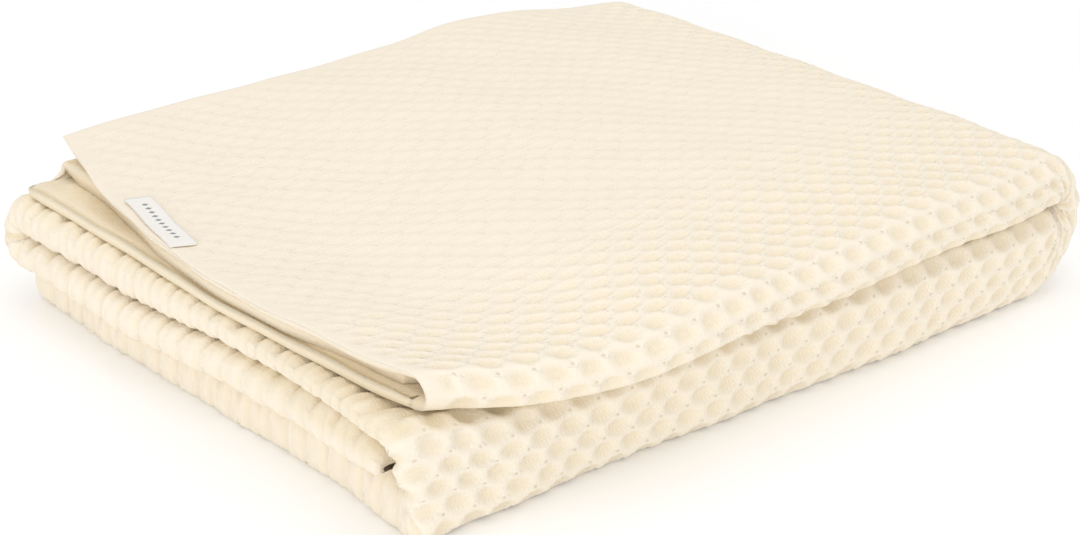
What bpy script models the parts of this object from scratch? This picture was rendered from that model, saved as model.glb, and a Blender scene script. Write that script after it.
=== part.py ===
"""A crib blanket of thick honeycomb knit, folded nine layers thick, with a small sewn label.

The cloth is one sheet of about 0.78 by 0.95 m.  A third of its length is turned back inside, its
width is folded in three like a letter, and the strip is then doubled over once.  The part lies on
its folded side: X runs along the strip from the loose ends to the rounded nose, Y runs across it
from the near fold to the far edge, Z is up, and the underside is flat at Z = 0.
"""

import math

import bmesh
import bpy
import numpy as np

# Cloth
SHEET = 0.0039
LAYER_GAP = 0.0014
PITCH = SHEET + LAYER_GAP

# Near and far edges of the package, at places along X
EDGES = {
    "x": (-0.165, -0.110, -0.030, 0.060, 0.160),
    "upper_near_y": (-0.1184, -0.1368, -0.1400, -0.1373, -0.1302),
    "lower_near_y": (-0.1254, -0.1245, -0.1268, -0.1305, -0.1298),
    "far_y": (0.1284, 0.1337, 0.1350, 0.1375, 0.1230),
}

# Where the doubled-over halves touch, and how high the upper half's top sheet lies above its
# bottom sheet: along its middle, over the near fold and over the far edge
HEIGHTS = {
    "x": (-0.165, -0.110, -0.030, 0.060, 0.160),
    "touch_z": (0.0472, 0.0398, 0.0400, 0.0394, 0.0375),
    "crown": (0.0100, 0.0143, 0.0200, 0.0222, 0.0196),
    "near": (0.0096, 0.0130, 0.0173, 0.0190, 0.0203),
    "far": (0.0100, 0.0190, 0.0178, 0.0203, 0.0165),
}
CROWN_POWER = 2.5

# The loose ends of the upper half's flap, middle panel and tucked panel, at places along Y
LOOSE_ENDS = {
    "y": (-0.120, -0.090, -0.060, -0.010, 0.030, 0.080, 0.132),
    "flap_x": (-0.1528, -0.1605, -0.1650, -0.1665, -0.1645, -0.1556, -0.1410),
    "middle_x": (-0.1510, -0.1570, -0.1607, -0.1638, -0.1638, -0.1650, -0.1665),
    "tucked_x": (-0.1450, -0.1510, -0.1583, -0.1618, -0.1600, -0.1505, -0.1480),
}

# The three rolls of doubled cloth under them: the middle panel's is the top one
ROLLS = {
    "y": (-0.130, -0.060, 0.030, 0.130),
    "flap_x": (-0.1573, -0.1564, -0.1619, -0.1625),
    "middle_x": (-0.1675, -0.1638, -0.1668, -0.1715),
    "tucked_x": (-0.1690, -0.1649, -0.1715, -0.1741),
}

# How much the lower half's layers are lifted out of even spacing, at places along Y: the higher
# this is, the thinner its lowest layers are pressed
LIFTS = {
    "y": (-0.130, -0.090, -0.030, 0.130),
    "lift": (0.34, 0.24, 0.10, 0.06),
}

# The letter fold's two turns in each half: the near one joins the outer panel to the inner one,
# the far one joins the inner panel to the tucked one
TURNS = {
    "near": {"upper": 0.0070, "lower": 0.0090},
    "far": {"upper": 0.0060, "lower": 0.0120},
    "ridge_inset": {"upper": 0.0060, "lower": 0.0010},
    "free_edge_inset": {"upper": 0.0010, "lower": 0.0040},
    "tucked_level": {"upper": 0.50, "lower": 0.60},
    "tucked_inset": {"upper": 0.0220, "lower": 0.0040},
}

# The doubled cloth's two layers in the near turn, as shares of their spacing in the rolls
NEAR_SPACING = {"floor": 0.74, "top": 0.80}

# The nose, where the strip is doubled over, for its inner and outer panels
NOSE = {
    "start_x": {"inner": 0.1500, "outer": 0.1388},
    "reach": {"inner": 0.0036, "outer": 0.0258},
}
NOSE_DEPTH = 0.0110
TURNED_END_X = 0.1150

# Grid steps in each zone of the cloth, along its length and across its width
LENGTH_STEPS = {"upper": 10, "nose": 12, "lower": 9, "roll": 6, "turned_in": 6}
WIDTH_STEPS = {"flap": 9, "near_turn": 12, "middle": 8, "far_turn": 8, "tucked": 7}

# The sewn label on the flap near its free corner
LABEL_LENGTH = 0.050
LABEL_WIDTH = 0.0100
LABEL_THICKNESS = 0.0009
LABEL_LIFT = 0.0004
LABEL_CENTRE = (-0.1556, 0.0364)
LABEL_TURN = math.radians(-11.6)


def lerp(start, end, share):
    return start + (end - start) * share


def ease(value):
    """A smooth step from 0 to 1."""
    return value * value * (3.0 - 2.0 * value)


def smooth_row(table, column, key, place):
    """A column of a short table, read smoothly at any place along its key column."""
    keys = np.array(table[key])
    values = np.array(table[column])
    slopes = np.gradient(values, keys)
    row = np.clip(np.searchsorted(keys, place) - 1, 0, len(keys) - 2)
    width = keys[row + 1] - keys[row]
    share = np.clip((place - keys[row]) / width, 0.0, 1.0)
    bend_in = width * slopes[row] * share * (1.0 - share) ** 2
    bend_out = width * slopes[row + 1] * share**2 * (share - 1.0)
    return lerp(values[row], values[row + 1], ease(share)) + bend_in + bend_out


def between(table, name, fold):
    """A turn's size on the way from the upper half to the lower one."""
    return lerp(table[name]["upper"], table[name]["lower"], fold)


def zone_marks(steps):
    """Each grid line's zone number and its place in that zone, from 0 to 1."""
    marks = [(number, step / count) for number, count in enumerate(steps.values()) for step in range(count)]
    marks.append((len(steps) - 1, 1.0))
    return np.array(marks)


def edge(name, x):
    return smooth_row(EDGES, name, "x", x)


def height(name, x):
    return smooth_row(HEIGHTS, name, "x", x)


def upper_z(x, y, level):
    near, far = edge("upper_near_y", x), edge("far_y", x)
    share = np.clip((2.0 * y - near - far) / (far - near), -1.0, 1.0)
    side = np.where(share < 0.0, height("near", x), height("far", x))
    span = lerp(height("crown", x), side, np.abs(share) ** CROWN_POWER)
    return height("touch_z", x) + PITCH / 2 + span * level


def lower_z(x, y, level):
    drop = level + smooth_row(LIFTS, "lift", "y", y) * level * (1.0 - level)
    return lerp(height("touch_z", x) - PITCH / 2, SHEET / 2, drop)


def turn(place, reach, tall):
    """A half turn with round corners: how far out it is, and its share of the way down."""
    radius = np.minimum(reach, tall / 2)
    flat, wall, arc = reach - radius, tall - 2 * radius, math.pi / 2 * radius
    length = 2 * (flat + arc) + wall
    distance = np.minimum(place, 1.0 - place) * length
    angle = np.clip((distance - flat) / radius, 0.0, math.pi / 2)
    out = np.minimum(distance, flat) + radius * np.sin(angle)
    down = radius * (1.0 - np.cos(angle)) + np.maximum(distance - flat - arc, 0.0)
    return out, np.where(place < 0.5, down, tall - down) / tall


def section(zone, place, x, fold, nose, inward, inward_level):
    """The letter fold seen from the end: Y and level, where level 1 is the outermost panel."""
    near, far = between(TURNS, "near", fold), between(TURNS, "far", fold)
    near_y = lerp(edge("upper_near_y", x), edge("lower_near_y", x), fold) + near
    far_y = edge("far_y", x) - between(TURNS, "ridge_inset", fold) - far
    free_y = edge("far_y", x) - between(TURNS, "free_edge_inset", fold)
    tucked_y = near_y + between(TURNS, "tucked_inset", fold)
    tucked = between(TURNS, "tucked_level", fold)

    lower_tall = height("touch_z", x) - PITCH / 2 - SHEET / 2
    near_tall = lerp(lerp(height("near", x), lower_tall, fold), NOSE_DEPTH, nose)
    far_tall = lerp(lerp(height("far", x), lower_tall, fold), NOSE_DEPTH, nose)
    near_levels, far_levels = 1.0 - 2 * inward_level, tucked - 2 * inward_level
    near_reach = near - inward * lerp(NEAR_SPACING["floor"], NEAR_SPACING["top"], place)
    near_out, near_share = turn(place, near_reach, near_tall * near_levels)
    far_out, far_share = turn(place, far - inward, far_tall * far_levels)
    ys = [
        lerp(free_y, near_y, place),
        near_y - near_out,
        lerp(near_y, far_y, place),
        far_y + far_out,
        lerp(far_y, tucked_y, place),
    ]
    levels = [
        1.0 - inward_level,
        1.0 - inward_level - near_share * near_levels,
        inward_level,
        inward_level + far_share * far_levels,
        tucked - inward_level,
    ]
    levels = [value + 0.0 * place for value in levels]
    return np.choose(zone, ys), np.choose(zone, levels)


def by_panel(table, zone, place, y):
    """A value read from the three panels' columns, and blended in the turns between them."""
    flap, middle, tucked = (smooth_row(table, name, "y", y) for name in ("flap_x", "middle_x", "tucked_x"))
    near, far = lerp(flap, middle, ease(place)), lerp(middle, tucked, ease(place))
    return np.choose(zone, [flap, near, middle, far, tucked])


def cloth_points(length_marks, width_marks):
    """The middle of the folded cloth, as a row of points for each length mark."""
    l_zone = np.repeat(length_marks[:, :1], len(width_marks), axis=1).astype(int)
    l_place = np.repeat(length_marks[:, 1:], len(width_marks), axis=1)
    w_zone = np.repeat(width_marks[None, :, 0], len(length_marks), axis=0).astype(int)
    w_place = np.repeat(width_marks[None, :, 1], len(length_marks), axis=0)
    still = 0.0 * l_place
    full = 1.0 + still
    angle = math.pi * l_place

    fold = np.choose(l_zone, [still, ease(l_place), full, full, full])
    floor_pitch = (HEIGHTS["touch_z"][0] - PITCH / 2 - SHEET / 2) / 5
    inward = floor_pitch * np.choose(l_zone, [still, still, still, (1 - np.cos(angle)) / 2, full])
    inward_level = inward / (5 * floor_pitch)
    rough_x = np.choose(
        l_zone,
        [
            lerp(-0.165, 0.142, l_place),
            0.142 + 0.018 * np.sin(angle),
            lerp(0.142, -0.165, l_place),
            -0.165 * full,
            lerp(-0.165, TURNED_END_X, l_place),
        ],
    )
    nose = np.where(l_zone == 1, np.sin(angle), 0.0)
    y, level = section(w_zone, w_place, rough_x, fold, nose, inward, inward_level)
    panel = section(w_zone, w_place, rough_x, fold, nose, still, still)[1]

    start = by_panel(LOOSE_ENDS, w_zone, w_place, y)
    roll = by_panel(ROLLS, w_zone, w_place, y) + floor_pitch / 2
    nose_start = lerp(NOSE["start_x"]["inner"], NOSE["start_x"]["outer"], panel)
    nose_reach = lerp(NOSE["reach"]["inner"], NOSE["reach"]["outer"], panel)
    x = np.choose(
        l_zone,
        [
            lerp(start, nose_start, l_place),
            nose_start + nose_reach * np.sin(angle),
            lerp(nose_start, roll, l_place),
            roll - floor_pitch / 2 * np.sin(angle),
            lerp(roll, TURNED_END_X, l_place),
        ],
    )
    above, below = upper_z(x, y, level), lower_z(x, y, level)
    around = (above + below) / 2 + (above - below) / 2 * np.cos(angle)
    z = np.choose(l_zone, [above, around, below, below, below])
    return np.stack([x, y, z], axis=-1)


def finish(name, colour, roughness):
    """A plain cloth colour for one piece."""
    material = bpy.data.materials.new(name)
    material.use_nodes = True
    shader = material.node_tree.nodes["Principled BSDF"]
    shader.inputs["Base Color"].default_value = (*colour, 1.0)
    shader.inputs["Roughness"].default_value = roughness
    return material


def sheet(name, points, thickness, material, collection):
    """A flat grid moved to its folded place, then given its thickness."""
    across, along = points.shape[0] - 1, points.shape[1] - 1
    grid = bmesh.new()
    bmesh.ops.create_grid(grid, x_segments=across, y_segments=along, size=0.5)
    for vertex in grid.verts:
        row = round((vertex.co.x + 0.5) * across)
        column = round((vertex.co.y + 0.5) * along)
        vertex.co = points[row, column]
    mesh = bpy.data.meshes.new(name)
    grid.to_mesh(mesh)
    grid.free()
    mesh.materials.append(material)
    mesh.shade_smooth()
    piece = bpy.data.objects.new(name, mesh)
    collection.objects.link(piece)
    solid = piece.modifiers.new("thickness", "SOLIDIFY")
    solid.thickness = thickness
    solid.offset = 0.0
    return piece


def label_points():
    """The label's middle, a small rectangle lying a little above the flap."""
    along = np.linspace(-LABEL_LENGTH / 2, LABEL_LENGTH / 2, 11)[:, None]
    across = np.linspace(-LABEL_WIDTH / 2, LABEL_WIDTH / 2, 5)[None, :]
    x = LABEL_CENTRE[0] + across * math.cos(LABEL_TURN) - along * math.sin(LABEL_TURN)
    y = LABEL_CENTRE[1] + across * math.sin(LABEL_TURN) + along * math.cos(LABEL_TURN)
    z = upper_z(x, y, 1.0) + SHEET / 2 + LABEL_LIFT + LABEL_THICKNESS / 2
    return np.stack([x, y, z], axis=-1)


def build():
    for old in list(bpy.data.objects):
        bpy.data.objects.remove(old)
    collection = bpy.data.collections.new("folded_crib_blanket")
    bpy.context.scene.collection.children.link(collection)
    cream = finish("cream_knit", (0.93, 0.86, 0.68), 0.9)
    white = finish("white_woven", (0.95, 0.94, 0.91), 0.8)
    cloth = cloth_points(zone_marks(LENGTH_STEPS), zone_marks(WIDTH_STEPS))
    sheet("blanket", cloth, SHEET, cream, collection)
    sheet("label", label_points(), LABEL_THICKNESS, white, collection)


build()
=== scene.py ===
"""A crib blanket of thick honeycomb knit, folded nine layers thick, on a plain pale floor.

Lengths are in metres.  X runs along the folded strip from the loose ends to the rounded nose,
Y runs across it from the near fold to the far edge, and Z is up.
"""

import math

import bpy
import numpy as np
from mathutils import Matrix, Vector


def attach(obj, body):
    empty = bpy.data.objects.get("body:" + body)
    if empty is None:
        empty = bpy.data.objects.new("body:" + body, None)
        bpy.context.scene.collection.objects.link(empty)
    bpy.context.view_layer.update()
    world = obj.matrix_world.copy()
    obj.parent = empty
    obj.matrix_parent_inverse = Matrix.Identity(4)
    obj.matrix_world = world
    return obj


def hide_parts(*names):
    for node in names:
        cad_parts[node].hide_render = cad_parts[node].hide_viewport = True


# Cloth
SHEET = 0.0039
LAYER_GAP = 0.0014
PITCH = SHEET + LAYER_GAP

# Near and far edges of the package, at places along X
EDGES = {
    "x": (-0.165, -0.110, -0.030, 0.060, 0.160),
    "upper_near_y": (-0.1184, -0.1368, -0.1400, -0.1373, -0.1302),
    "lower_near_y": (-0.1254, -0.1245, -0.1268, -0.1305, -0.1298),
    "far_y": (0.1284, 0.1337, 0.1350, 0.1375, 0.1230),
}

# Where the doubled-over halves touch, and how high the upper half's top sheet lies above its
# bottom sheet: along its middle, over the near fold and over the far edge
HEIGHTS = {
    "x": (-0.165, -0.110, -0.030, 0.060, 0.160),
    "touch_z": (0.0472, 0.0398, 0.0400, 0.0394, 0.0375),
    "crown": (0.0100, 0.0143, 0.0200, 0.0222, 0.0196),
    "near": (0.0096, 0.0130, 0.0173, 0.0190, 0.0203),
    "far": (0.0128, 0.0196, 0.0178, 0.0203, 0.0165),
}
CROWN_POWER = 2.5

# The loose ends of the upper half's flap, middle panel and tucked panel, at places along Y
LOOSE_ENDS = {
    "y": (-0.120, -0.090, -0.060, -0.010, 0.030, 0.080, 0.132),
    "flap_x": (-0.1528, -0.1605, -0.1650, -0.1665, -0.1645, -0.1562, -0.1438),
    "middle_x": (-0.1510, -0.1570, -0.1607, -0.1638, -0.1638, -0.1650, -0.1665),
    "tucked_x": (-0.1450, -0.1510, -0.1583, -0.1618, -0.1600, -0.1505, -0.1480),
}

# The three rolls of doubled cloth under them: the middle panel's is the top one
ROLLS = {
    "y": (-0.130, -0.060, 0.030, 0.130),
    "flap_x": (-0.1580, -0.1556, -0.1606, -0.1624),
    "middle_x": (-0.1675, -0.1638, -0.1668, -0.1715),
    "tucked_x": (-0.1672, -0.1633, -0.1692, -0.1722),
}

# How much the lower half's layers are lifted out of even spacing, at places along Y: the higher
# this is, the thinner its lowest layers are pressed
LIFTS = {
    "y": (-0.130, -0.090, -0.030, 0.130),
    "lift": (0.04, 0.12, 0.10, 0.06),
}

# The letter fold's two turns in each half: the near one joins the outer panel to the inner one,
# the far one joins the inner panel to the tucked one
TURNS = {
    "near": {"upper": 0.0070, "lower": 0.0090},
    "far": {"upper": 0.0060, "lower": 0.0120},
    "ridge_inset": {"upper": 0.0060, "lower": 0.0010},
    "free_edge_inset": {"upper": 0.0010, "lower": 0.0040},
    "tucked_level": {"upper": 0.50, "lower": 0.60},
    "tucked_inset": {"upper": 0.0080, "lower": 0.0040},
}

# The doubled cloth's two layers in the near turn, as shares of their spacing in the rolls
NEAR_SPACING = {"floor": 0.74, "top": 0.80}

# The nose, where the strip is doubled over, for its inner and outer panels
NOSE = {
    "start_x": {"inner": 0.1500, "outer": 0.1388},
    "reach": {"inner": 0.0036, "outer": 0.0258},
}
NOSE_DEPTH = 0.0110
TURNED_END_X = 0.1150

# Where the loose ends and rolls, and the start of the nose, lie along X before their tables shape
# them, and how far the nose reaches out
ENDS_X = -0.165
NOSE_X = 0.142
NOSE_ROOM = 0.018

# The far turn's loose end comes level with the tucked panel's sooner than even spacing would
# bring it there, by this factor
FAR_END_HASTE = 1.8

# Mesh steps in each zone of the cloth, and the size of the plain faces on its hidden sides
LENGTH_STEPS = {"upper": 144, "nose": 42, "lower": 144, "roll": 6, "turned_in": 16}
WIDTH_STEPS = {"flap": 260, "near_turn": 36, "middle": 240, "far_turn": 24, "tucked": 220}
LENGTH_BLOCKS = {"upper": 8, "nose": 4, "lower": 8, "roll": 1, "turned_in": 2}
WIDTH_BLOCKS = {"flap": 12, "near_turn": 3, "middle": 12, "far_turn": 3, "tucked": 11}
NOSE_ZONE = list(LENGTH_STEPS).index("nose")
FAR_TURN_ZONE = list(WIDTH_STEPS).index("far_turn")

# Rows that are seen at the loose ends and in the turned-in part, each such row's share of that
# part, how many extra rows a wide hidden row counts as, and the first rows' places in steps
SHOWN_ENDS = 8
SHOWN_TURNED_IN = 6
SHOWN_STEP = 0.0074
WIDE_ROW = 12
FIRST_ROWS = (0.45, 1.25)

# One mesh step on the flap, along and across
ROW_STEP = 0.00213
COLUMN_STEP = 0.00102

# Honeycomb knit: a cell's mesh steps, its width, how much the turns stretch it, and how many rows
# before the rolls its width in the turns stops changing
CELL_STEPS_ALONG = 6
CELL_STEPS_ACROSS = 12
CELL_ACROSS = 0.0120
TURN_STRETCH = 1.25
EVEN_ROWS = 12

# Relief of the cells: pressed flat, pulled open and on the rolls
CREST = 0.0002
PRESSED_DEPTH = 0.0003
OPEN_DEPTH = 0.0022
HOLE_DEPTH = 0.0008
ROLL_RELIEF = 0.28
ROLL_OPEN = 0.45

# The plain border, the sheet's rounded edge, and half its thickness where it is hidden
BORDER_START = 0.003
BORDER_END = 0.009
ROUNDED_EDGE = 0.0022
EDGE_SHARE = 0.8
HIDDEN_HALF = 0.0017

# The loose ends, pressed together under the flap: reaches in rows or columns
END_SLIT = 0.0004
END_REACH = 10
HEM_GROOVE = 0.0011
UNDERCUT = 0.0030
UNDERCUT_ROWS = 4

# How far the rolls swell and over how many rows that fades: the lowest roll's top climbs, the
# middle panel and the flap fade faster and the tucked panel's lower side later
PUFF = 0.0016
MIDDLE_PUFF = 0.0010
PUFF_REACH = 10
MIDDLE_FADE = 2.5
FLAP_FADE = 1.8
LATE_ROWS = 10
CREASE = 0.0005
LOW_ROLL_RISE = 0.0012

# How far the creases between the rolls climb: from one Y to another, and over rows from the rolls
UPPER_CREASE_RISE = 0.0070
LOWER_CREASE_RISE = 0.0040
CREASE_CLIMB = (0.060, -0.090)
CREASE_FADE = (4.0, 16.0)

# The doubled cloth pinched shut at its free edge, in columns from that edge and rows from the rolls
PINCH_REACH = 14
PINCH_SHARE = 1.30
PINCH_FADE = (4.0, 14.0)

# Notches along the creases
NOTCH_DEPTH = 0.0022
NOTCH_SPACING = 0.0131
NOTCH_WIDTH = 0.0016
NOTCH_FADE = (5.0, 9.0)

# Painted shade: darker colour in the creases, the notches, under the flap's edge and in the hem groove:
# how far it reaches, and how strong it is
CREASE_SHADE = 0.0055
ROLL_SHADE = 0.0026
HALVES_SHADE = 1.25
NOTCH_SHADE = 0.6
ENDS_SHADE = 0.6
HEM_SHADE = 1.6

# Sewn label: its tape is a little thinner than the room it has, and has mesh steps across and along
LABEL_LENGTH = 0.050
LABEL_WIDTH = 0.0100
LABEL_THICKNESS = 0.0009
LABEL_LIFT = 0.0004
LABEL_CENTRE = (-0.1556, 0.0364)
LABEL_TURN = math.radians(-11.6)
TAPE_THICKNESS = LABEL_THICKNESS * 0.8
TAPE_STEPS = (12, 40)

# Camera
CAMERA_PLACE = (-0.53386, -0.64011, 0.40134)
CAMERA_AZIMUTH = math.radians(-39.496)
CAMERA_ELEVATION = math.radians(25.145)
LENS = 76.67
SENSOR = 36.0

# Studio: each light's name, place, size and power, and where they all point
LIGHTS = (
    ("top", (-0.2, -0.1, 1.6), 1.6, 6.2),
    ("front", (-2.4, -1.7, 1.0), 1.8, 21.0),
    ("side", (1.3, -0.6, 0.8), 1.0, 1.5),
)
LIGHT_TARGET = (0.0, 0.0, 0.03)
WORLD_STRENGTH = 0.72
FLOOR_SIZE = 12.0
FLOOR_GLOW = 0.07


def lerp(start, end, share):
    return start + (end - start) * share


def ease(value):
    """A smooth step from 0 to 1."""
    return value * value * (3.0 - 2.0 * value)


def smooth_row(table, column, key, place):
    """A column of a short table, read smoothly at any place along its key column."""
    keys = np.array(table[key])
    values = np.array(table[column])
    slopes = np.gradient(values, keys)
    row = np.clip(np.searchsorted(keys, place) - 1, 0, len(keys) - 2)
    width = keys[row + 1] - keys[row]
    share = np.clip((place - keys[row]) / width, 0.0, 1.0)
    bend_in = width * slopes[row] * share * (1.0 - share) ** 2
    bend_out = width * slopes[row + 1] * share**2 * (share - 1.0)
    return lerp(values[row], values[row + 1], ease(share)) + bend_in + bend_out


def between(table, name, fold):
    """A turn's size on the way from the upper half to the lower one."""
    return lerp(table[name]["upper"], table[name]["lower"], fold)


def zone_marks(steps):
    """Each grid line's zone number and its place in that zone, from 0 to 1."""
    marks = []
    for number, count in enumerate(steps.values()):
        marks.extend((number, step / count) for step in range(count))
    marks.append((len(steps) - 1, 1.0))
    return np.array(marks)


def edge(name, x):
    return smooth_row(EDGES, name, "x", x)


def height(name, x):
    return smooth_row(HEIGHTS, name, "x", x)


def upper_z(x, y, level):
    near, far = edge("upper_near_y", x), edge("far_y", x)
    share = np.clip((2.0 * y - near - far) / (far - near), -1.0, 1.0)
    side = np.where(share < 0.0, height("near", x), height("far", x))
    span = lerp(height("crown", x), side, np.abs(share) ** CROWN_POWER)
    return height("touch_z", x) + PITCH / 2 + span * level


def lower_z(x, y, level):
    drop = level + smooth_row(LIFTS, "lift", "y", y) * level * (1.0 - level)
    return lerp(height("touch_z", x) - PITCH / 2, SHEET / 2, drop)


def turn(place, reach, tall):
    """A half turn with round corners: how far out it is, and its share of the way down."""
    radius = np.minimum(reach, tall / 2)
    flat, wall, arc = reach - radius, tall - 2 * radius, math.pi / 2 * radius
    length = 2 * (flat + arc) + wall
    distance = np.minimum(place, 1.0 - place) * length
    angle = np.clip((distance - flat) / radius, 0.0, math.pi / 2)
    out = np.minimum(distance, flat) + radius * np.sin(angle)
    down = radius * (1.0 - np.cos(angle)) + np.maximum(distance - flat - arc, 0.0)
    return out, np.where(place < 0.5, down, tall - down) / tall


def section(zone, place, x, fold, nose, inward, inward_level):
    """The letter fold seen from the end: Y and level, where level 1 is the outermost panel."""
    near, far = between(TURNS, "near", fold), between(TURNS, "far", fold)
    near_y = lerp(edge("upper_near_y", x), edge("lower_near_y", x), fold) + near
    far_y = edge("far_y", x) - between(TURNS, "ridge_inset", fold) - far
    free_y = edge("far_y", x) - between(TURNS, "free_edge_inset", fold)
    tucked_y = near_y + between(TURNS, "tucked_inset", fold)
    tucked = between(TURNS, "tucked_level", fold)

    lower_tall = height("touch_z", x) - PITCH / 2 - SHEET / 2
    near_tall = lerp(lerp(height("near", x), lower_tall, fold), NOSE_DEPTH, nose)
    far_tall = lerp(lerp(height("far", x), lower_tall, fold), NOSE_DEPTH, nose)
    near_levels, far_levels = 1.0 - 2 * inward_level, tucked - 2 * inward_level
    near_reach = near - inward * lerp(NEAR_SPACING["floor"], NEAR_SPACING["top"], place)
    near_out, near_share = turn(place, near_reach, near_tall * near_levels)
    far_out, far_share = turn(place, far - inward, far_tall * far_levels)
    ys = [
        lerp(free_y, near_y, place),
        near_y - near_out,
        lerp(near_y, far_y, place),
        far_y + far_out,
        lerp(far_y, tucked_y, place),
    ]
    levels = [
        1.0 - inward_level,
        1.0 - inward_level - near_share * near_levels,
        inward_level,
        inward_level + far_share * far_levels,
        tucked - inward_level,
    ]
    levels = [value + 0.0 * place for value in levels]
    return np.choose(zone, ys), np.choose(zone, levels)


def by_panel(table, zone, place, y):
    """A value read from the three panels' columns, and blended in the turns between them."""
    columns = ("flap_x", "middle_x", "tucked_x")
    flap, middle, tucked = (smooth_row(table, name, "y", y) for name in columns)
    near, far = lerp(flap, middle, ease(place)), lerp(middle, tucked, ease(place))
    return np.choose(zone, [flap, near, middle, far, tucked])


def cloth_points(length_marks, width_marks):
    """The middle of the folded cloth, as a row of points for each length mark."""
    l_zone = np.repeat(length_marks[:, :1], len(width_marks), axis=1).astype(int)
    l_place = np.repeat(length_marks[:, 1:], len(width_marks), axis=1)
    w_zone = np.repeat(width_marks[None, :, 0], len(length_marks), axis=0).astype(int)
    w_place = np.repeat(width_marks[None, :, 1], len(length_marks), axis=0)
    still = 0.0 * l_place
    full = 1.0 + still
    angle = math.pi * l_place

    fold = np.choose(l_zone, [still, ease(l_place), full, full, full])
    floor_pitch = (HEIGHTS["touch_z"][0] - PITCH / 2 - SHEET / 2) / 5
    inward = floor_pitch * np.choose(l_zone, [still, still, still, (1 - np.cos(angle)) / 2, full])
    inward_level = inward / (5 * floor_pitch)
    rough_x = np.choose(
        l_zone,
        [
            lerp(ENDS_X, NOSE_X, l_place),
            NOSE_X + NOSE_ROOM * np.sin(angle),
            lerp(NOSE_X, ENDS_X, l_place),
            ENDS_X * full,
            lerp(ENDS_X, TURNED_END_X, l_place),
        ],
    )
    nose = np.where(l_zone == NOSE_ZONE, np.sin(angle), 0.0)
    y, level = section(w_zone, w_place, rough_x, fold, nose, inward, inward_level)
    panel = section(w_zone, w_place, rough_x, fold, nose, still, still)[1]

    quick_place = np.minimum(FAR_END_HASTE * w_place, 1.0)
    quick_place = np.where(w_zone == FAR_TURN_ZONE, quick_place, w_place)
    start = by_panel(LOOSE_ENDS, w_zone, quick_place, y)
    roll = by_panel(ROLLS, w_zone, w_place, y) + floor_pitch / 2
    nose_start = lerp(NOSE["start_x"]["inner"], NOSE["start_x"]["outer"], panel)
    nose_reach = lerp(NOSE["reach"]["inner"], NOSE["reach"]["outer"], panel)
    x = np.choose(
        l_zone,
        [
            lerp(start, nose_start, l_place),
            nose_start + nose_reach * np.sin(angle),
            lerp(nose_start, roll, l_place),
            roll - floor_pitch / 2 * np.sin(angle),
            lerp(roll, TURNED_END_X, l_place),
        ],
    )
    above, below = upper_z(x, y, level), lower_z(x, y, level)
    around = (above + below) / 2 + (above - below) / 2 * np.cos(angle)
    z = np.choose(l_zone, [above, around, below, below, below])
    return np.stack([x, y, z], axis=-1)


def smooth(low, high, value):
    """0 below low, 1 above high and smooth between them."""
    return ease(np.clip((value - low) / (high - low), 0.0, 1.0))


def warp(points):
    """The loose unevenness of soft cloth, the same for every layer at one place."""
    x, y, z = points[..., 0], points[..., 1], points[..., 2]
    waves = np.sin(61.0 * x + 23.0 * y + 0.7) + 0.7 * np.sin(37.0 * x - 71.0 * y + 2.1)
    ripples = np.sin(118.0 * x + 67.0 * y + 1.3) * np.sin(83.0 * y - 31.0 * x + 0.4)
    lift = (0.00045 * waves + 0.0003 * ripples) * smooth(0.004, 0.045, z)
    sway = 0.0005 * np.sin(75.0 * x + 40.0 * z + 0.5) + 0.0003 * np.sin(140.0 * x + 1.9)
    slide = 0.0005 * np.sin(64.0 * y + 90.0 * z) + 0.0003 * np.sin(151.0 * y - 120.0 * z + 0.8)
    return points + np.stack([slide, sway, lift], axis=-1)


def honeycomb(along, across):
    """0 in the middle of a cell and 1 on the ridges between cells."""
    turn_along, turn_across = 2 * math.pi * along, 2 * math.pi * across
    waves = 2 * np.cos(turn_along) * np.cos(turn_across) + np.cos(2 * turn_across)
    return (3.0 - waves) / 4.5


def starts(steps):
    """The first grid line of each zone, and the last one."""
    return dict(zip([*steps, "end"], np.cumsum([0, *steps.values()]).tolist()))


LENGTH_AT = starts(LENGTH_STEPS)
WIDTH_AT = starts(WIDTH_STEPS)
HEM = slice(WIDTH_AT["middle"], WIDTH_AT["tucked"])


def grid_places(points):
    """Each point's row and column in the cloth's grid."""
    return np.indices(points.shape[:2], dtype=float)


def within(column, zone):
    """True in one zone across the cloth."""
    start = WIDTH_AT[zone]
    return (column >= start) & (column < start + WIDTH_STEPS[zone])


def cell_place(middle):
    """Each point's place in the knit, counted in cells along and across the cloth."""
    rows, columns = middle.shape[:2]
    along = grid_places(middle)[0] / CELL_STEPS_ALONG
    step = np.full((rows, columns - 1), 1.0 / CELL_STEPS_ACROSS)
    length = np.linalg.norm(np.diff(middle, axis=1), axis=-1)
    last = LENGTH_AT["roll"] - EVEN_ROWS
    length[last:] = length[last]
    for name, after in (("near_turn", "middle"), ("far_turn", "tucked")):
        span = slice(WIDTH_AT[name], WIDTH_AT[after])
        step[:, span] = length[:, span] / (CELL_ACROSS * TURN_STRETCH)
    across = np.concatenate([np.zeros((rows, 1)), np.cumsum(step, axis=1)], axis=1)
    across = across - WIDTH_AT["near_turn"] / CELL_STEPS_ACROSS
    wobble = 0.05 * np.sin(0.55 * along + 0.21 * across) + 0.04 * np.sin(0.83 * across - 0.4 * along)
    ripple = np.sin(1.9 * along + 1.3 * across) * np.sin(1.1 * along - 2.3 * across + 0.6)
    wobble = wobble + 0.05 * ripple
    return along + wobble, across + 0.6 * wobble


def free_edge(middle):
    """Each point's distance from the nearest free edge of the cloth that is seen."""
    row, column = grid_places(middle)
    from_side = column * COLUMN_STEP
    return np.minimum(row * ROW_STEP, np.minimum(from_side, from_side[:, ::-1]))


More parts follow.
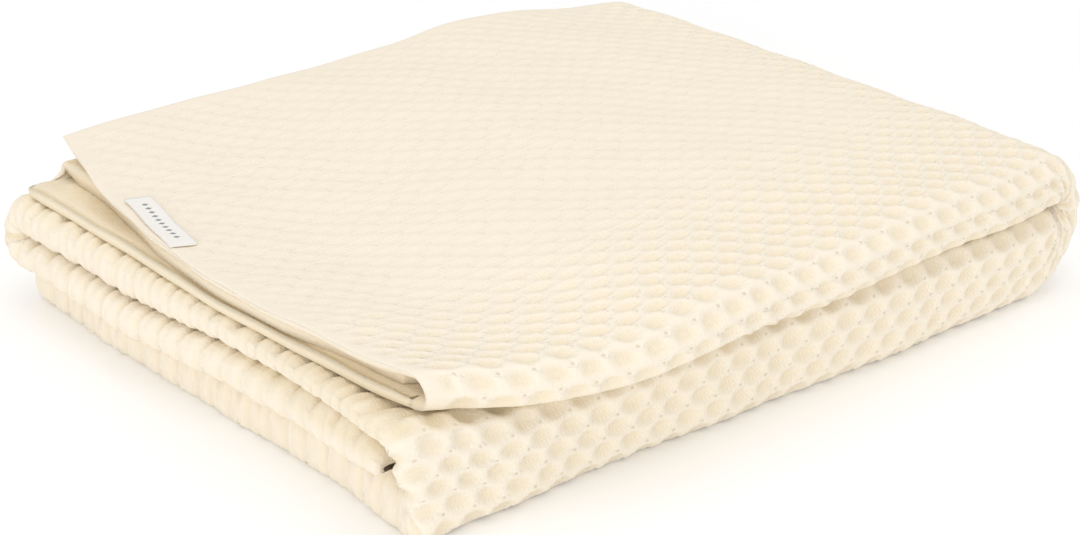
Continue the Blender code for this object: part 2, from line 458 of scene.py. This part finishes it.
def openness(middle):
    """How far the knit's cells are pulled open: little where it lies flat, more over the folds."""
    row, column = grid_places(middle)
    flap_share = column / WIDTH_AT["near_turn"]
    run = row / LENGTH_AT["nose"]
    flat = 0.10 + 0.10 * smooth(0.2, 1.0, run)
    to_fold = smooth(0.72 - 0.12 * np.clip(run, 0, 1), 1.0, flap_share)
    to_nose = smooth(0.86, 1.06, run)
    opened = np.maximum(lerp(flat, 0.95, to_fold), 0.85 * to_nose)
    opened = np.where(column >= WIDTH_AT["near_turn"], 1.0, opened)
    return np.clip(opened, 0.0, 1.0)


def outer_shows(row, column):
    """True where the cloth's outer side can be seen, for the first corner of a block."""
    in_flap = within(column, "flap")
    in_turn = within(column, "near_turn") or within(column, "far_turn")
    last_shown = LENGTH_AT["turned_in"] + SHOWN_TURNED_IN
    at_rolls = LENGTH_AT["roll"] - SHOWN_ENDS <= row < last_shown
    under = in_flap and row < LENGTH_AT["roll"]
    return (
        row < SHOWN_ENDS
        or (in_flap and row < LENGTH_AT["lower"])
        or (in_turn and row < last_shown)
        or (at_rolls and not under)
    )


def inner_shows(row, column):
    """True where the cloth's inner side can be seen: the loose end of the middle panel and far turn."""
    return row < SHOWN_ENDS and (within(column, "middle") or within(column, "far_turn"))


def length_marks():
    """Grid places along the cloth, close together where the turned-in part leaves the rolls."""
    marks = zone_marks(LENGTH_STEPS)
    turned_in = marks[:, 0] == len(LENGTH_STEPS) - 1
    count = LENGTH_STEPS["turned_in"]
    step = np.round(marks[turned_in, 1] * count)
    hidden = (step - SHOWN_TURNED_IN) / (count - SHOWN_TURNED_IN)
    start = SHOWN_TURNED_IN * SHOWN_STEP
    marks[turned_in, 1] = np.where(hidden <= 0.0, step * SHOWN_STEP, lerp(start, 1.0, hidden))
    marks[1 : 1 + len(FIRST_ROWS), 1] = np.array(FIRST_ROWS) / LENGTH_STEPS["upper"]
    return marks


def from_rolls(row):
    """How many narrow rows away from the rolls a row is: each wide hidden row counts as several."""
    after = row - LENGTH_AT["turned_in"]
    after = after + WIDE_ROW * np.maximum(after - SHOWN_TURNED_IN, 0)
    return np.maximum(np.maximum(LENGTH_AT["roll"] - row, after), 0)


def swelling(middle, outward):
    """How far each point moves up or down near the rolls, where the doubled cloth is loose."""
    row, column = grid_places(middle)
    away = from_rolls(row)
    x, y = np.full_like(row, ENDS_X), middle[..., 1]
    top, upper, lower, floor = (lower_z(x, y, level) for level in (0.2, 0.4, 0.6, 0.8))
    upper_gap = (top - upper - SHEET - CREASE) / 2
    lower_gap = (lower - floor - SHEET - CREASE) / 2

    upward = outward[..., 2] > 0
    in_middle, in_flap = within(column, "middle"), within(column, "flap")
    tucked_under = (column >= WIDTH_AT["far_turn"]) & ~upward
    gap = np.where(upward, upper_gap, lower_gap)
    gap = np.where(in_middle, np.where(upward, MIDDLE_PUFF, upper_gap), gap)
    gap = np.where(in_flap, np.where(upward, 2 * lower_gap + LOW_ROLL_RISE, PUFF), gap)
    gap = np.where(tucked_under, -LOW_ROLL_RISE, gap)
    away = np.where(in_middle & (row < LENGTH_AT["roll"]), MIDDLE_FADE * away, away)
    away = np.where(tucked_under, np.maximum(away - LATE_ROWS, 0), away)
    away = np.where(in_flap & upward, FLAP_FADE * away, away)
    return gap * outward[..., 2] * (1.0 - smooth(0.0, PUFF_REACH, away))


def crease_rise(middle, outward):
    """How far the two creases between the rolls climb towards the near corner."""
    row, column = grid_places(middle)
    near, far = (
        np.clip((column - WIDTH_AT[name]) / WIDTH_STEPS[name], 0.0, 1.0)
        for name in ("near_turn", "far_turn")
    )
    share = smooth(*CREASE_CLIMB, middle[..., 1]) * (1.0 - smooth(*CREASE_FADE, from_rolls(row)))
    under = UPPER_CREASE_RISE * near * (1.0 - far) + LOWER_CREASE_RISE * far
    over = LOWER_CREASE_RISE * (1.0 - near) + UPPER_CREASE_RISE * far
    return share * lerp(under, over, (1.0 + outward[..., 2]) / 2)


def pinch(middle, outward):
    """How far the doubled cloth closes up at the tucked panel's free edge, near the rolls."""
    row, column = grid_places(middle)
    from_edge = column[:, ::-1]
    share = (1.0 - smooth(*PINCH_FADE, from_rolls(row))) * (1.0 - smooth(0.0, PINCH_REACH, from_edge))
    x, y = np.full_like(row, ENDS_X), middle[..., 1]
    hollow = (lower_z(x, y, 0.4) - lower_z(x, y, 0.6) - SHEET) / 2
    return PINCH_SHARE * hollow * share * outward[..., 2]


def notches(middle, outward):
    """The pinched V-shaped notches along the creases above, between and under the rolls."""
    row, column = grid_places(middle)
    y = middle[..., 1]
    shift = np.where(column < WIDTH_AT["far_turn"], 0.0, 0.55)
    shift = np.where(within(column, "flap"), 0.25, shift)
    saw = y / NOTCH_SPACING + shift + 0.10 * np.sin(31.0 * y)
    away = np.abs(saw - np.round(saw)) * NOTCH_SPACING
    near_crease = smooth(0.45, 1.0, np.abs(outward[..., 2]))
    near_crease = near_crease * (1.0 - smooth(*NOTCH_FADE, from_rolls(row)))
    return np.exp(-((away / NOTCH_WIDTH) ** 2)) * near_crease * ~within(column, "near_turn")


def block_lines(starts_at, steps, sizes):
    """The grid lines that bound the plain blocks."""
    lines = []
    for name, count in steps.items():
        lines.extend(range(starts_at[name], starts_at[name] + count, sizes[name]))
    return [*lines, starts_at["end"]]


def walk(row, next_row, column, next_column, used):
    """The used grid points around a block, in order."""
    loop = [(row, c) for c in range(column, next_column)]
    loop += [(r, next_column) for r in range(row, next_row)]
    loop += [(next_row, c) for c in range(next_column, column, -1)]
    loop += [(r, column) for r in range(next_row, row, -1)]
    return [point for point in loop if used[point]]


def cover(shown, rim):
    """Faces of one side: small squares where it is seen and plain blocks elsewhere."""
    row_lines = block_lines(LENGTH_AT, LENGTH_STEPS, LENGTH_BLOCKS)
    column_lines = block_lines(WIDTH_AT, WIDTH_STEPS, WIDTH_BLOCKS)
    used = rim.copy()
    squared = np.zeros_like(rim)
    fine, plain = [], []
    for row, next_row in zip(row_lines, row_lines[1:]):
        for column, next_column in zip(column_lines, column_lines[1:]):
            if shown(row, column):
                used[row : next_row + 1, column : next_column + 1] = True
                squared[row : next_row + 1, column : next_column + 1] = True
                fine.append((row, next_row, column, next_column))
            else:
                for r in (row, next_row):
                    used[r, [column, next_column]] = True
                plain.append((row, next_row, column, next_column))
    faces = [walk(*block, used) for block in plain]
    for row, next_row, column, next_column in fine:
        for r in range(row, next_row):
            for c in range(column, next_column):
                faces.append([(r, c), (r, c + 1), (r + 1, c + 1), (r + 1, c)])
    return used, faces, squared


def rim_loop(rows, columns):
    """The grid points of the cloth's edge, in order."""
    full = np.ones((rows, columns), dtype=bool)
    return walk(0, rows - 1, 0, columns - 1, full)


def pressed_half(middle, half):
    """Half the sheet's thickness at the loose ends, where the three sheets are pressed together."""
    row, column = grid_places(middle)
    x, y = middle[..., 0], middle[..., 1]
    spacing = (upper_z(x, y, 1.0) - upper_z(x, y, 0.0)) / 4 - END_SLIT / 2
    from_near = np.maximum(WIDTH_AT["near_turn"] - column, column - WIDTH_AT["middle"])
    from_far = np.maximum(WIDTH_AT["far_turn"] - column, column - WIDTH_AT["tucked"])
    flat = smooth(0.0, END_REACH, np.minimum(from_near, from_far))
    share = (1.0 - smooth(0.0, 1.0, (row - END_REACH) / END_REACH)) * flat
    return lerp(half, np.maximum(spacing, half), share)


def painted_shade_amount(middle):
    """How deep each point lies in a crease between the halves or the rolls, or under the flap's loose
    edge, as the strength of its painted shade: 0 outside them.
    """
    row, column = grid_places(middle)
    x, y, z = middle[..., 0], middle[..., 1], middle[..., 2]
    halves = np.clip(1.0 - np.abs(z - height("touch_z", x)) / CREASE_SHADE, 0.0, 1.0)
    halves = HALVES_SHADE * np.where(within(column, "flap"), 0.0, halves)
    halves = np.where((row >= LENGTH_AT["nose"]) & (row < LENGTH_AT["lower"]), 0.0, halves)
    end_x = np.full_like(x, ENDS_X)
    levels = [lower_z(end_x, y, level) for level in (0.2, 0.4, 0.6, 0.8)]
    rolls = np.maximum(
        1.0 - np.abs(z - (levels[0] + levels[1]) / 2) / ROLL_SHADE,
        1.0 - np.abs(z - (levels[2] + levels[3]) / 2) / ROLL_SHADE,
    )
    last_shown = LENGTH_AT["turned_in"] + SHOWN_TURNED_IN
    at_rolls = (row >= LENGTH_AT["roll"] - 1) & (row <= last_shown)
    rolls = np.clip(rolls, 0.0, 1.0) * at_rolls * ~within(column, "near_turn")
    under_flap = smooth(-0.0075, -0.0005, x - smooth_row(LOOSE_ENDS, "flap_x", "y", y))
    ends = under_flap * (row < END_REACH) * (column >= WIDTH_AT["middle"])
    return np.maximum(np.maximum(halves, rolls), ENDS_SHADE * ends)


def knit_relief(along, across, opened, rolled):
    """How far the knit stands out of the sheet: ridges, sunk cells and the holes in them."""
    cells = honeycomb(along, across)
    ridge = lerp(smooth(0.25, 0.97, cells), smooth(0.05, 0.90, cells), rolled)
    hole = 1.0 - smooth(0.0, 0.22, honeycomb(along, across - 1 / 3))
    depth = lerp(PRESSED_DEPTH, OPEN_DEPTH, opened * lerp(1.0, ROLL_RELIEF, rolled))
    return CREST - np.maximum(depth * (1.0 - ridge), HOLE_DEPTH * hole)


def two_sides(middle, outward, relief, border, outer_fine, inner_fine):
    """The cloth's outer and inner surfaces."""
    rounded = np.clip(border / ROUNDED_EDGE, 0.0, 1.0)
    rounded = lerp(EDGE_SHARE, 1.0, np.sqrt(1.0 - (1.0 - rounded) ** 2))
    half = SHEET / 2 * rounded
    hidden_half = np.minimum(half, HIDDEN_HALF)
    pressed = pressed_half(middle, half)
    tucked_end = np.zeros(middle.shape[:2], dtype=bool)
    tucked_end[: 2 * END_REACH, WIDTH_AT["far_turn"] :] = True
    outer_half = np.where(outer_fine, half + relief, hidden_half)
    outer_half = np.where(tucked_end, pressed, outer_half)
    inner_half = np.where(inner_fine, pressed, hidden_half)
    inner_half[: 2 * END_REACH] = pressed[: 2 * END_REACH]
    inner_half[1, HEM] -= HEM_GROOVE

    outer = middle + outward * outer_half[..., None]
    outer[..., 2] = np.maximum(outer[..., 2] + swelling(middle, outward), 0.0)
    inner = middle - outward * inner_half[..., None]
    undercut = UNDERCUT * (1.0 - np.arange(UNDERCUT_ROWS) / UNDERCUT_ROWS)
    inner[:UNDERCUT_ROWS, : WIDTH_AT["middle"], 0] += undercut[:, None]
    return warp(outer), warp(inner)


def closed_faces(outer_used, inner_used, outer_faces, inner_faces):
    """All faces by point number: the outer side, the inner side and the edge between them."""
    rows, columns = outer_used.shape
    outer_number = np.cumsum(outer_used).reshape(rows, columns) - 1
    inner_number = np.cumsum(inner_used).reshape(rows, columns) - 1 + int(outer_used.sum())
    faces = [[int(outer_number[point]) for point in face] for face in outer_faces]
    faces += [[int(inner_number[point]) for point in reversed(face)] for face in inner_faces]
    loop = rim_loop(rows, columns)
    for here, there in zip(loop, loop[1:] + loop[:1]):
        band = (outer_number[there], outer_number[here], inner_number[here], inner_number[there])
        faces.append([int(number) for number in band])
    return faces


def blanket():
    """The folded cloth as one closed mesh, with its cells in relief on the sides that show."""
    middle = cloth_points(length_marks(), zone_marks(WIDTH_STEPS))
    outward = np.cross(np.gradient(middle, axis=1), np.gradient(middle, axis=0))
    outward /= np.linalg.norm(outward, axis=-1, keepdims=True)
    middle[..., 2] += crease_rise(middle, outward) - pinch(middle, outward)
    along, across = cell_place(middle)

    border = free_edge(middle)
    plain = smooth(BORDER_START, BORDER_END, border)
    opened = openness(middle) * plain
    rolled = np.zeros(middle.shape[:2])
    rolled[LENGTH_AT["roll"] - SHOWN_ENDS :] = 1.0
    rolled[:, WIDTH_AT["near_turn"] : WIDTH_AT["middle"]] = 0.0
    notch = notches(middle, outward)
    relief = knit_relief(along, across, opened, rolled) * plain - NOTCH_DEPTH * notch

    rim = np.zeros(middle.shape[:2], dtype=bool)
    rim[0], rim[-1], rim[:, 0], rim[:, -1] = True, True, True, True
    outer_used, outer_faces, outer_fine = cover(outer_shows, rim)
    inner_used, inner_faces, inner_fine = cover(inner_shows, rim)
    outer, inner = two_sides(middle, outward, relief, border, outer_fine, inner_fine)

    def kept(values):
        """A grid's values at the mesh's own points, outer side first."""
        return np.concatenate([values[outer_used], values[inner_used]])

    points = np.concatenate([outer[outer_used], inner[inner_used]])
    mesh = bpy.data.meshes.new("blanket_knit")
    mesh.from_pydata(points.tolist(), [], closed_faces(outer_used, inner_used, outer_faces, inner_faces))
    mesh.update()
    corner_vertex = np.empty(len(mesh.loops), dtype=np.int32)
    mesh.loops.foreach_get("vertex_index", corner_vertex)
    cells = kept(np.stack([along, across], axis=-1))
    layer = mesh.uv_layers.new(name="knit")
    layer.data.foreach_set("uv", cells[corner_vertex].astype(np.float32).ravel())

    # Painted shade: the creases, notches, the recess under the flap's edge and the hem groove get a
    # darker, browner colour.
    painted_crease_shade = np.maximum(painted_shade_amount(middle), NOTCH_SHADE * notch)
    painted_crease_shade[1, HEM] = HEM_SHADE
    shades = {"pulled_open": lerp(opened, ROLL_OPEN, rolled), "painted_crease_shade": painted_crease_shade, "knit_share": plain}
    for name, values in shades.items():
        shade = mesh.attributes.new(name, "FLOAT", "POINT")
        shade.data.foreach_set("value", kept(values).astype(np.float32))
    mesh.shade_smooth()
    piece = bpy.data.objects.new("blanket_knit", mesh)
    bpy.context.scene.collection.objects.link(piece)
    return piece


class Wire:
    """A shader socket that arithmetic in Python builds maths nodes on."""

    def __init__(self, tree, socket):
        self.tree = tree
        self.socket = socket

    def join(self, operation, first, second=None):
        node = self.tree.nodes.new("ShaderNodeMath")
        node.operation = operation
        for slot, value in zip(node.inputs, (first, second)):
            if isinstance(value, Wire):
                self.tree.links.new(value.socket, slot)
            elif value is not None:
                slot.default_value = value
        return Wire(self.tree, node.outputs[0])

    def __add__(self, other):
        return self.join("ADD", self, other)

    __radd__ = __add__

    def __sub__(self, other):
        return self.join("SUBTRACT", self, other)

    def __rsub__(self, other):
        return self.join("SUBTRACT", other, self)

    def __mul__(self, other):
        return self.join("MULTIPLY", self, other)

    __rmul__ = __mul__

    def __truediv__(self, other):
        return self.join("DIVIDE", self, other)

    def __rtruediv__(self, other):
        return self.join("DIVIDE", other, self)


class Finish:
    """One material's node tree."""

    def __init__(self, name):
        self.material = bpy.data.materials.new(name)
        self.material.use_nodes = True
        self.tree = self.material.node_tree
        self.shader = self.tree.nodes["Principled BSDF"]

    def node(self, kind, settings=None, sockets=None, output=0):
        """A node whose settings are set first and whose sockets get values or wires."""
        made = self.tree.nodes.new(kind)
        for name, value in (settings or {}).items():
            setattr(made, name, value)
        for name, value in (sockets or {}).items():
            if isinstance(value, Wire):
                self.tree.links.new(value.socket, made.inputs[name])
            else:
                made.inputs[name].default_value = value
        return Wire(self.tree, made.outputs[output])

    def wave(self, turns):
        """The cosine of a number of whole turns."""
        angle = turns * (2 * math.pi)
        return angle.join("COSINE", angle)

    def step(self, low, high, value):
        return self.node(
            "ShaderNodeMapRange",
            {"interpolation_type": "SMOOTHSTEP"},
            {"Value": value, "From Min": low, "From Max": high},
        )

    def blend(self, share, first, second):
        """A colour between two others."""
        colours = {"Factor": share, 6: first, 7: second}
        return self.node("ShaderNodeMix", {"data_type": "RGBA"}, colours, 2)

    def set(self, name, value):
        if isinstance(value, Wire):
            self.tree.links.new(value.socket, self.shader.inputs[name])
        else:
            self.shader.inputs[name].default_value = value


def knit_finish():
    """Matt cream cotton with painted shade: darker in the cells' hollows, their small holes and the
    creases, with the stitches of the yarn as bump.
    """
    finish = Finish("cream_honeycomb_knit")
    cells = finish.node("ShaderNodeUVMap", {"uv_map": "knit"})
    along = finish.node("ShaderNodeSeparateXYZ", None, {"Vector": cells}, "X")
    across = finish.node("ShaderNodeSeparateXYZ", None, {"Vector": cells}, "Y")
    pulled = finish.node("ShaderNodeAttribute", {"attribute_name": "pulled_open"}, None, "Fac")
    knit_share = finish.node("ShaderNodeAttribute", {"attribute_name": "knit_share"}, None, "Fac")
    painted_crease_shade = finish.node("ShaderNodeAttribute", {"attribute_name": "painted_crease_shade"}, None, "Fac")
    place = finish.node("ShaderNodeTexCoord", None, None, "Object")

    def honey(shift):
        row = across - shift
        return (3 - 2 * finish.wave(along) * finish.wave(row) - finish.wave(2 * row)) / 4.5

    ridge = finish.step(0.20, 0.96, honey(0.0))
    crest = finish.step(0.70, 0.93, honey(0.0))
    hole = (1 - finish.step(0.0, 0.05, honey(1 / 3))) * knit_share
    off_rolls = (pulled - ROLL_OPEN) * (pulled - ROLL_OPEN)

    # Painted shade: where the knit is pulled open, the cells' hollows are coloured darker than their
    # ridges.
    hollow_shade_colour = (0.900, 0.795, 0.615, 1.0)
    ridge_colour = (0.945, 0.858, 0.715, 1.0)
    flat_colour = (0.940, 0.845, 0.700, 1.0)
    hole_shade_colour = (0.46, 0.34, 0.17, 1.0)
    mottle_colour = (0.96, 0.88, 0.75, 1.0)
    crease_shade_colour = (0.80, 0.67, 0.42, 1.0)
    cell = finish.blend(ridge, hollow_shade_colour, ridge_colour)
    colour = finish.blend(pulled * knit_share, flat_colour, cell)
    # Painted shade: the knit's small holes are coloured dark brown, away from the rolls.
    colour = finish.blend(hole * off_rolls * 1.25, colour, hole_shade_colour)
    mottle = finish.node("ShaderNodeTexNoise", None, {"Vector": place, "Scale": 38.0, "Detail": 2.0}, 0)
    colour = finish.blend(mottle * 0.12, colour, mottle_colour)
    # Painted shade: brown tint in the creases, notches, under the flap's edge and along the hem groove.
    colour = finish.blend(painted_crease_shade * 0.6, colour, crease_shade_colour)
    finish.set("Base Color", colour)

    wale = finish.wave(along * 8)
    course = finish.wave(across * 8 + 0.25 * wale)
    fuzz = finish.node("ShaderNodeTexNoise", None, {"Vector": place, "Scale": 700.0, "Detail": 3.0}, 0)
    height = 0.08 * wale + 0.10 * course + 0.35 * fuzz + 0.45 * crest * pulled - 0.3 * hole
    bump = finish.node("ShaderNodeBump", None, {"Strength": 0.5, "Distance": 0.0006, "Height": height})
    finish.set("Normal", bump)
    finish.set("Roughness", 0.92)
    finish.set("Specular IOR Level", 0.2)
    finish.set("Sheen Weight", 0.1)
    finish.set("Sheen Roughness", 0.6)
    finish.set("Sheen Tint", (1.0, 0.95, 0.85, 1.0))
    return finish.material


def label():
    """A small woven tape lying on the flap near its free corner."""
    bpy.ops.object.select_all(action="DESELECT")
    bpy.ops.mesh.primitive_grid_add(x_subdivisions=TAPE_STEPS[0], y_subdivisions=TAPE_STEPS[1], size=1.0)
    tape = bpy.context.object
    tape.name = "label_tape"
    flat = np.array([vertex.co for vertex in tape.data.vertices])
    across, along = flat[:, 0] * LABEL_WIDTH, flat[:, 1] * LABEL_LENGTH
    x = LABEL_CENTRE[0] + across * math.cos(LABEL_TURN) - along * math.sin(LABEL_TURN)
    y = LABEL_CENTRE[1] + across * math.sin(LABEL_TURN) + along * math.cos(LABEL_TURN)
    z = upper_z(x, y, 1.0) + SHEET / 2 + LABEL_LIFT + LABEL_THICKNESS / 2
    points = warp(np.stack([x, y, z], axis=-1))
    for vertex, point in zip(tape.data.vertices, points):
        vertex.co = point
    uv = tape.data.uv_layers[0]
    uv.name = "tape"
    thickness = tape.modifiers.new("thickness", "SOLIDIFY")
    thickness.thickness = TAPE_THICKNESS
    thickness.offset = 0.0
    bpy.ops.object.modifier_apply(modifier="thickness")
    tape.data.shade_smooth()
    return tape


def tape_finish():
    """White woven tape with a row of small grey diamonds."""
    finish = Finish("white_woven_tape")
    place = finish.node("ShaderNodeUVMap", {"uv_map": "tape"})
    across = finish.node("ShaderNodeSeparateXYZ", None, {"Vector": place}, "X")
    along = finish.node("ShaderNodeSeparateXYZ", None, {"Vector": place}, "Y")
    rib = finish.wave(along * 90) * finish.wave(across * 22)
    repeat = along * 13
    saw = repeat - repeat.join("ROUND", repeat)
    side = (across - 0.5) * 4.0
    reach = saw.join("ABSOLUTE", saw) * 1.7 + side.join("ABSOLUTE", side) * 0.9
    diamond = 1 - finish.step(0.45, 0.55, reach)
    inset = (along - 0.5).join("ABSOLUTE", along - 0.5)
    diamond = diamond * (1 - finish.step(0.38, 0.39, inset))
    tape_colour = (0.95, 0.92, 0.87, 1.0)
    diamond_colour = (0.17, 0.17, 0.18, 1.0)
    finish.set("Base Color", finish.blend(diamond * 0.8, tape_colour, diamond_colour))
    bump = finish.node("ShaderNodeBump", None, {"Strength": 0.3, "Distance": 0.0002, "Height": rib})
    finish.set("Normal", bump)
    finish.set("Roughness", 0.75)
    return finish.material


def studio():
    """A pale floor, soft light and the camera."""
    bpy.ops.object.select_all(action="DESELECT")
    bpy.ops.mesh.primitive_plane_add(size=FLOOR_SIZE)
    floor = bpy.context.object
    floor.name = "floor"
    paper = Finish("pale_floor")
    paper.set("Base Color", (0.98, 0.98, 0.98, 1.0))
    paper.set("Roughness", 0.9)
    paper.set("Emission Color", (1.0, 1.0, 1.0, 1.0))
    paper.set("Emission Strength", FLOOR_GLOW)
    floor.data.materials.append(paper.material)

    world = bpy.data.worlds.new("studio")
    bpy.context.scene.world = world
    world.use_nodes = True
    sky = world.node_tree.nodes["Background"]
    sky.inputs["Color"].default_value = (1.0, 1.0, 1.0, 1.0)
    sky.inputs["Strength"].default_value = WORLD_STRENGTH
    for name, place, size, power in LIGHTS:
        bpy.ops.object.light_add(type="AREA", location=place)
        lamp = bpy.context.object
        lamp.name = name
        lamp.data.shape = "DISK"
        lamp.data.size = size
        lamp.data.energy = power
        lamp.rotation_mode = "QUATERNION"
        lamp.rotation_quaternion = (Vector(place) - Vector(LIGHT_TARGET)).to_track_quat("Z", "Y")

    back = Vector(
        (
            math.sin(CAMERA_AZIMUTH) * math.cos(CAMERA_ELEVATION),
            -math.cos(CAMERA_AZIMUTH) * math.cos(CAMERA_ELEVATION),
            math.sin(CAMERA_ELEVATION),
        )
    )
    bpy.ops.object.camera_add(location=CAMERA_PLACE)
    camera = bpy.context.object
    camera.rotation_mode = "QUATERNION"
    camera.rotation_quaternion = back.to_track_quat("Z", "Y")
    camera.data.lens = LENS
    camera.data.sensor_width = SENSOR
    camera.data.clip_start = 0.01
    bpy.context.scene.camera = camera
    bpy.context.scene.view_settings.view_transform = "Standard"


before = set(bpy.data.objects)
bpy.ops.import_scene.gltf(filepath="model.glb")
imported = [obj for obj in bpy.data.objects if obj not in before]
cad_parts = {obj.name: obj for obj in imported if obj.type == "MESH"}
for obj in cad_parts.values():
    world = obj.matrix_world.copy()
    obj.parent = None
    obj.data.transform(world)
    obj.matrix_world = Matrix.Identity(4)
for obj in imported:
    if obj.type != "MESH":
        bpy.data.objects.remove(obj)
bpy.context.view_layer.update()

knit = blanket()
knit.data.materials.append(knit_finish())
tape = label()
tape.data.materials.append(tape_finish())
for piece, node, slot_name in ((knit, "blanket", "cream_knit"), (tape, "label", "white_woven")):
    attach(piece, "root")
    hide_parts(node)
studio()
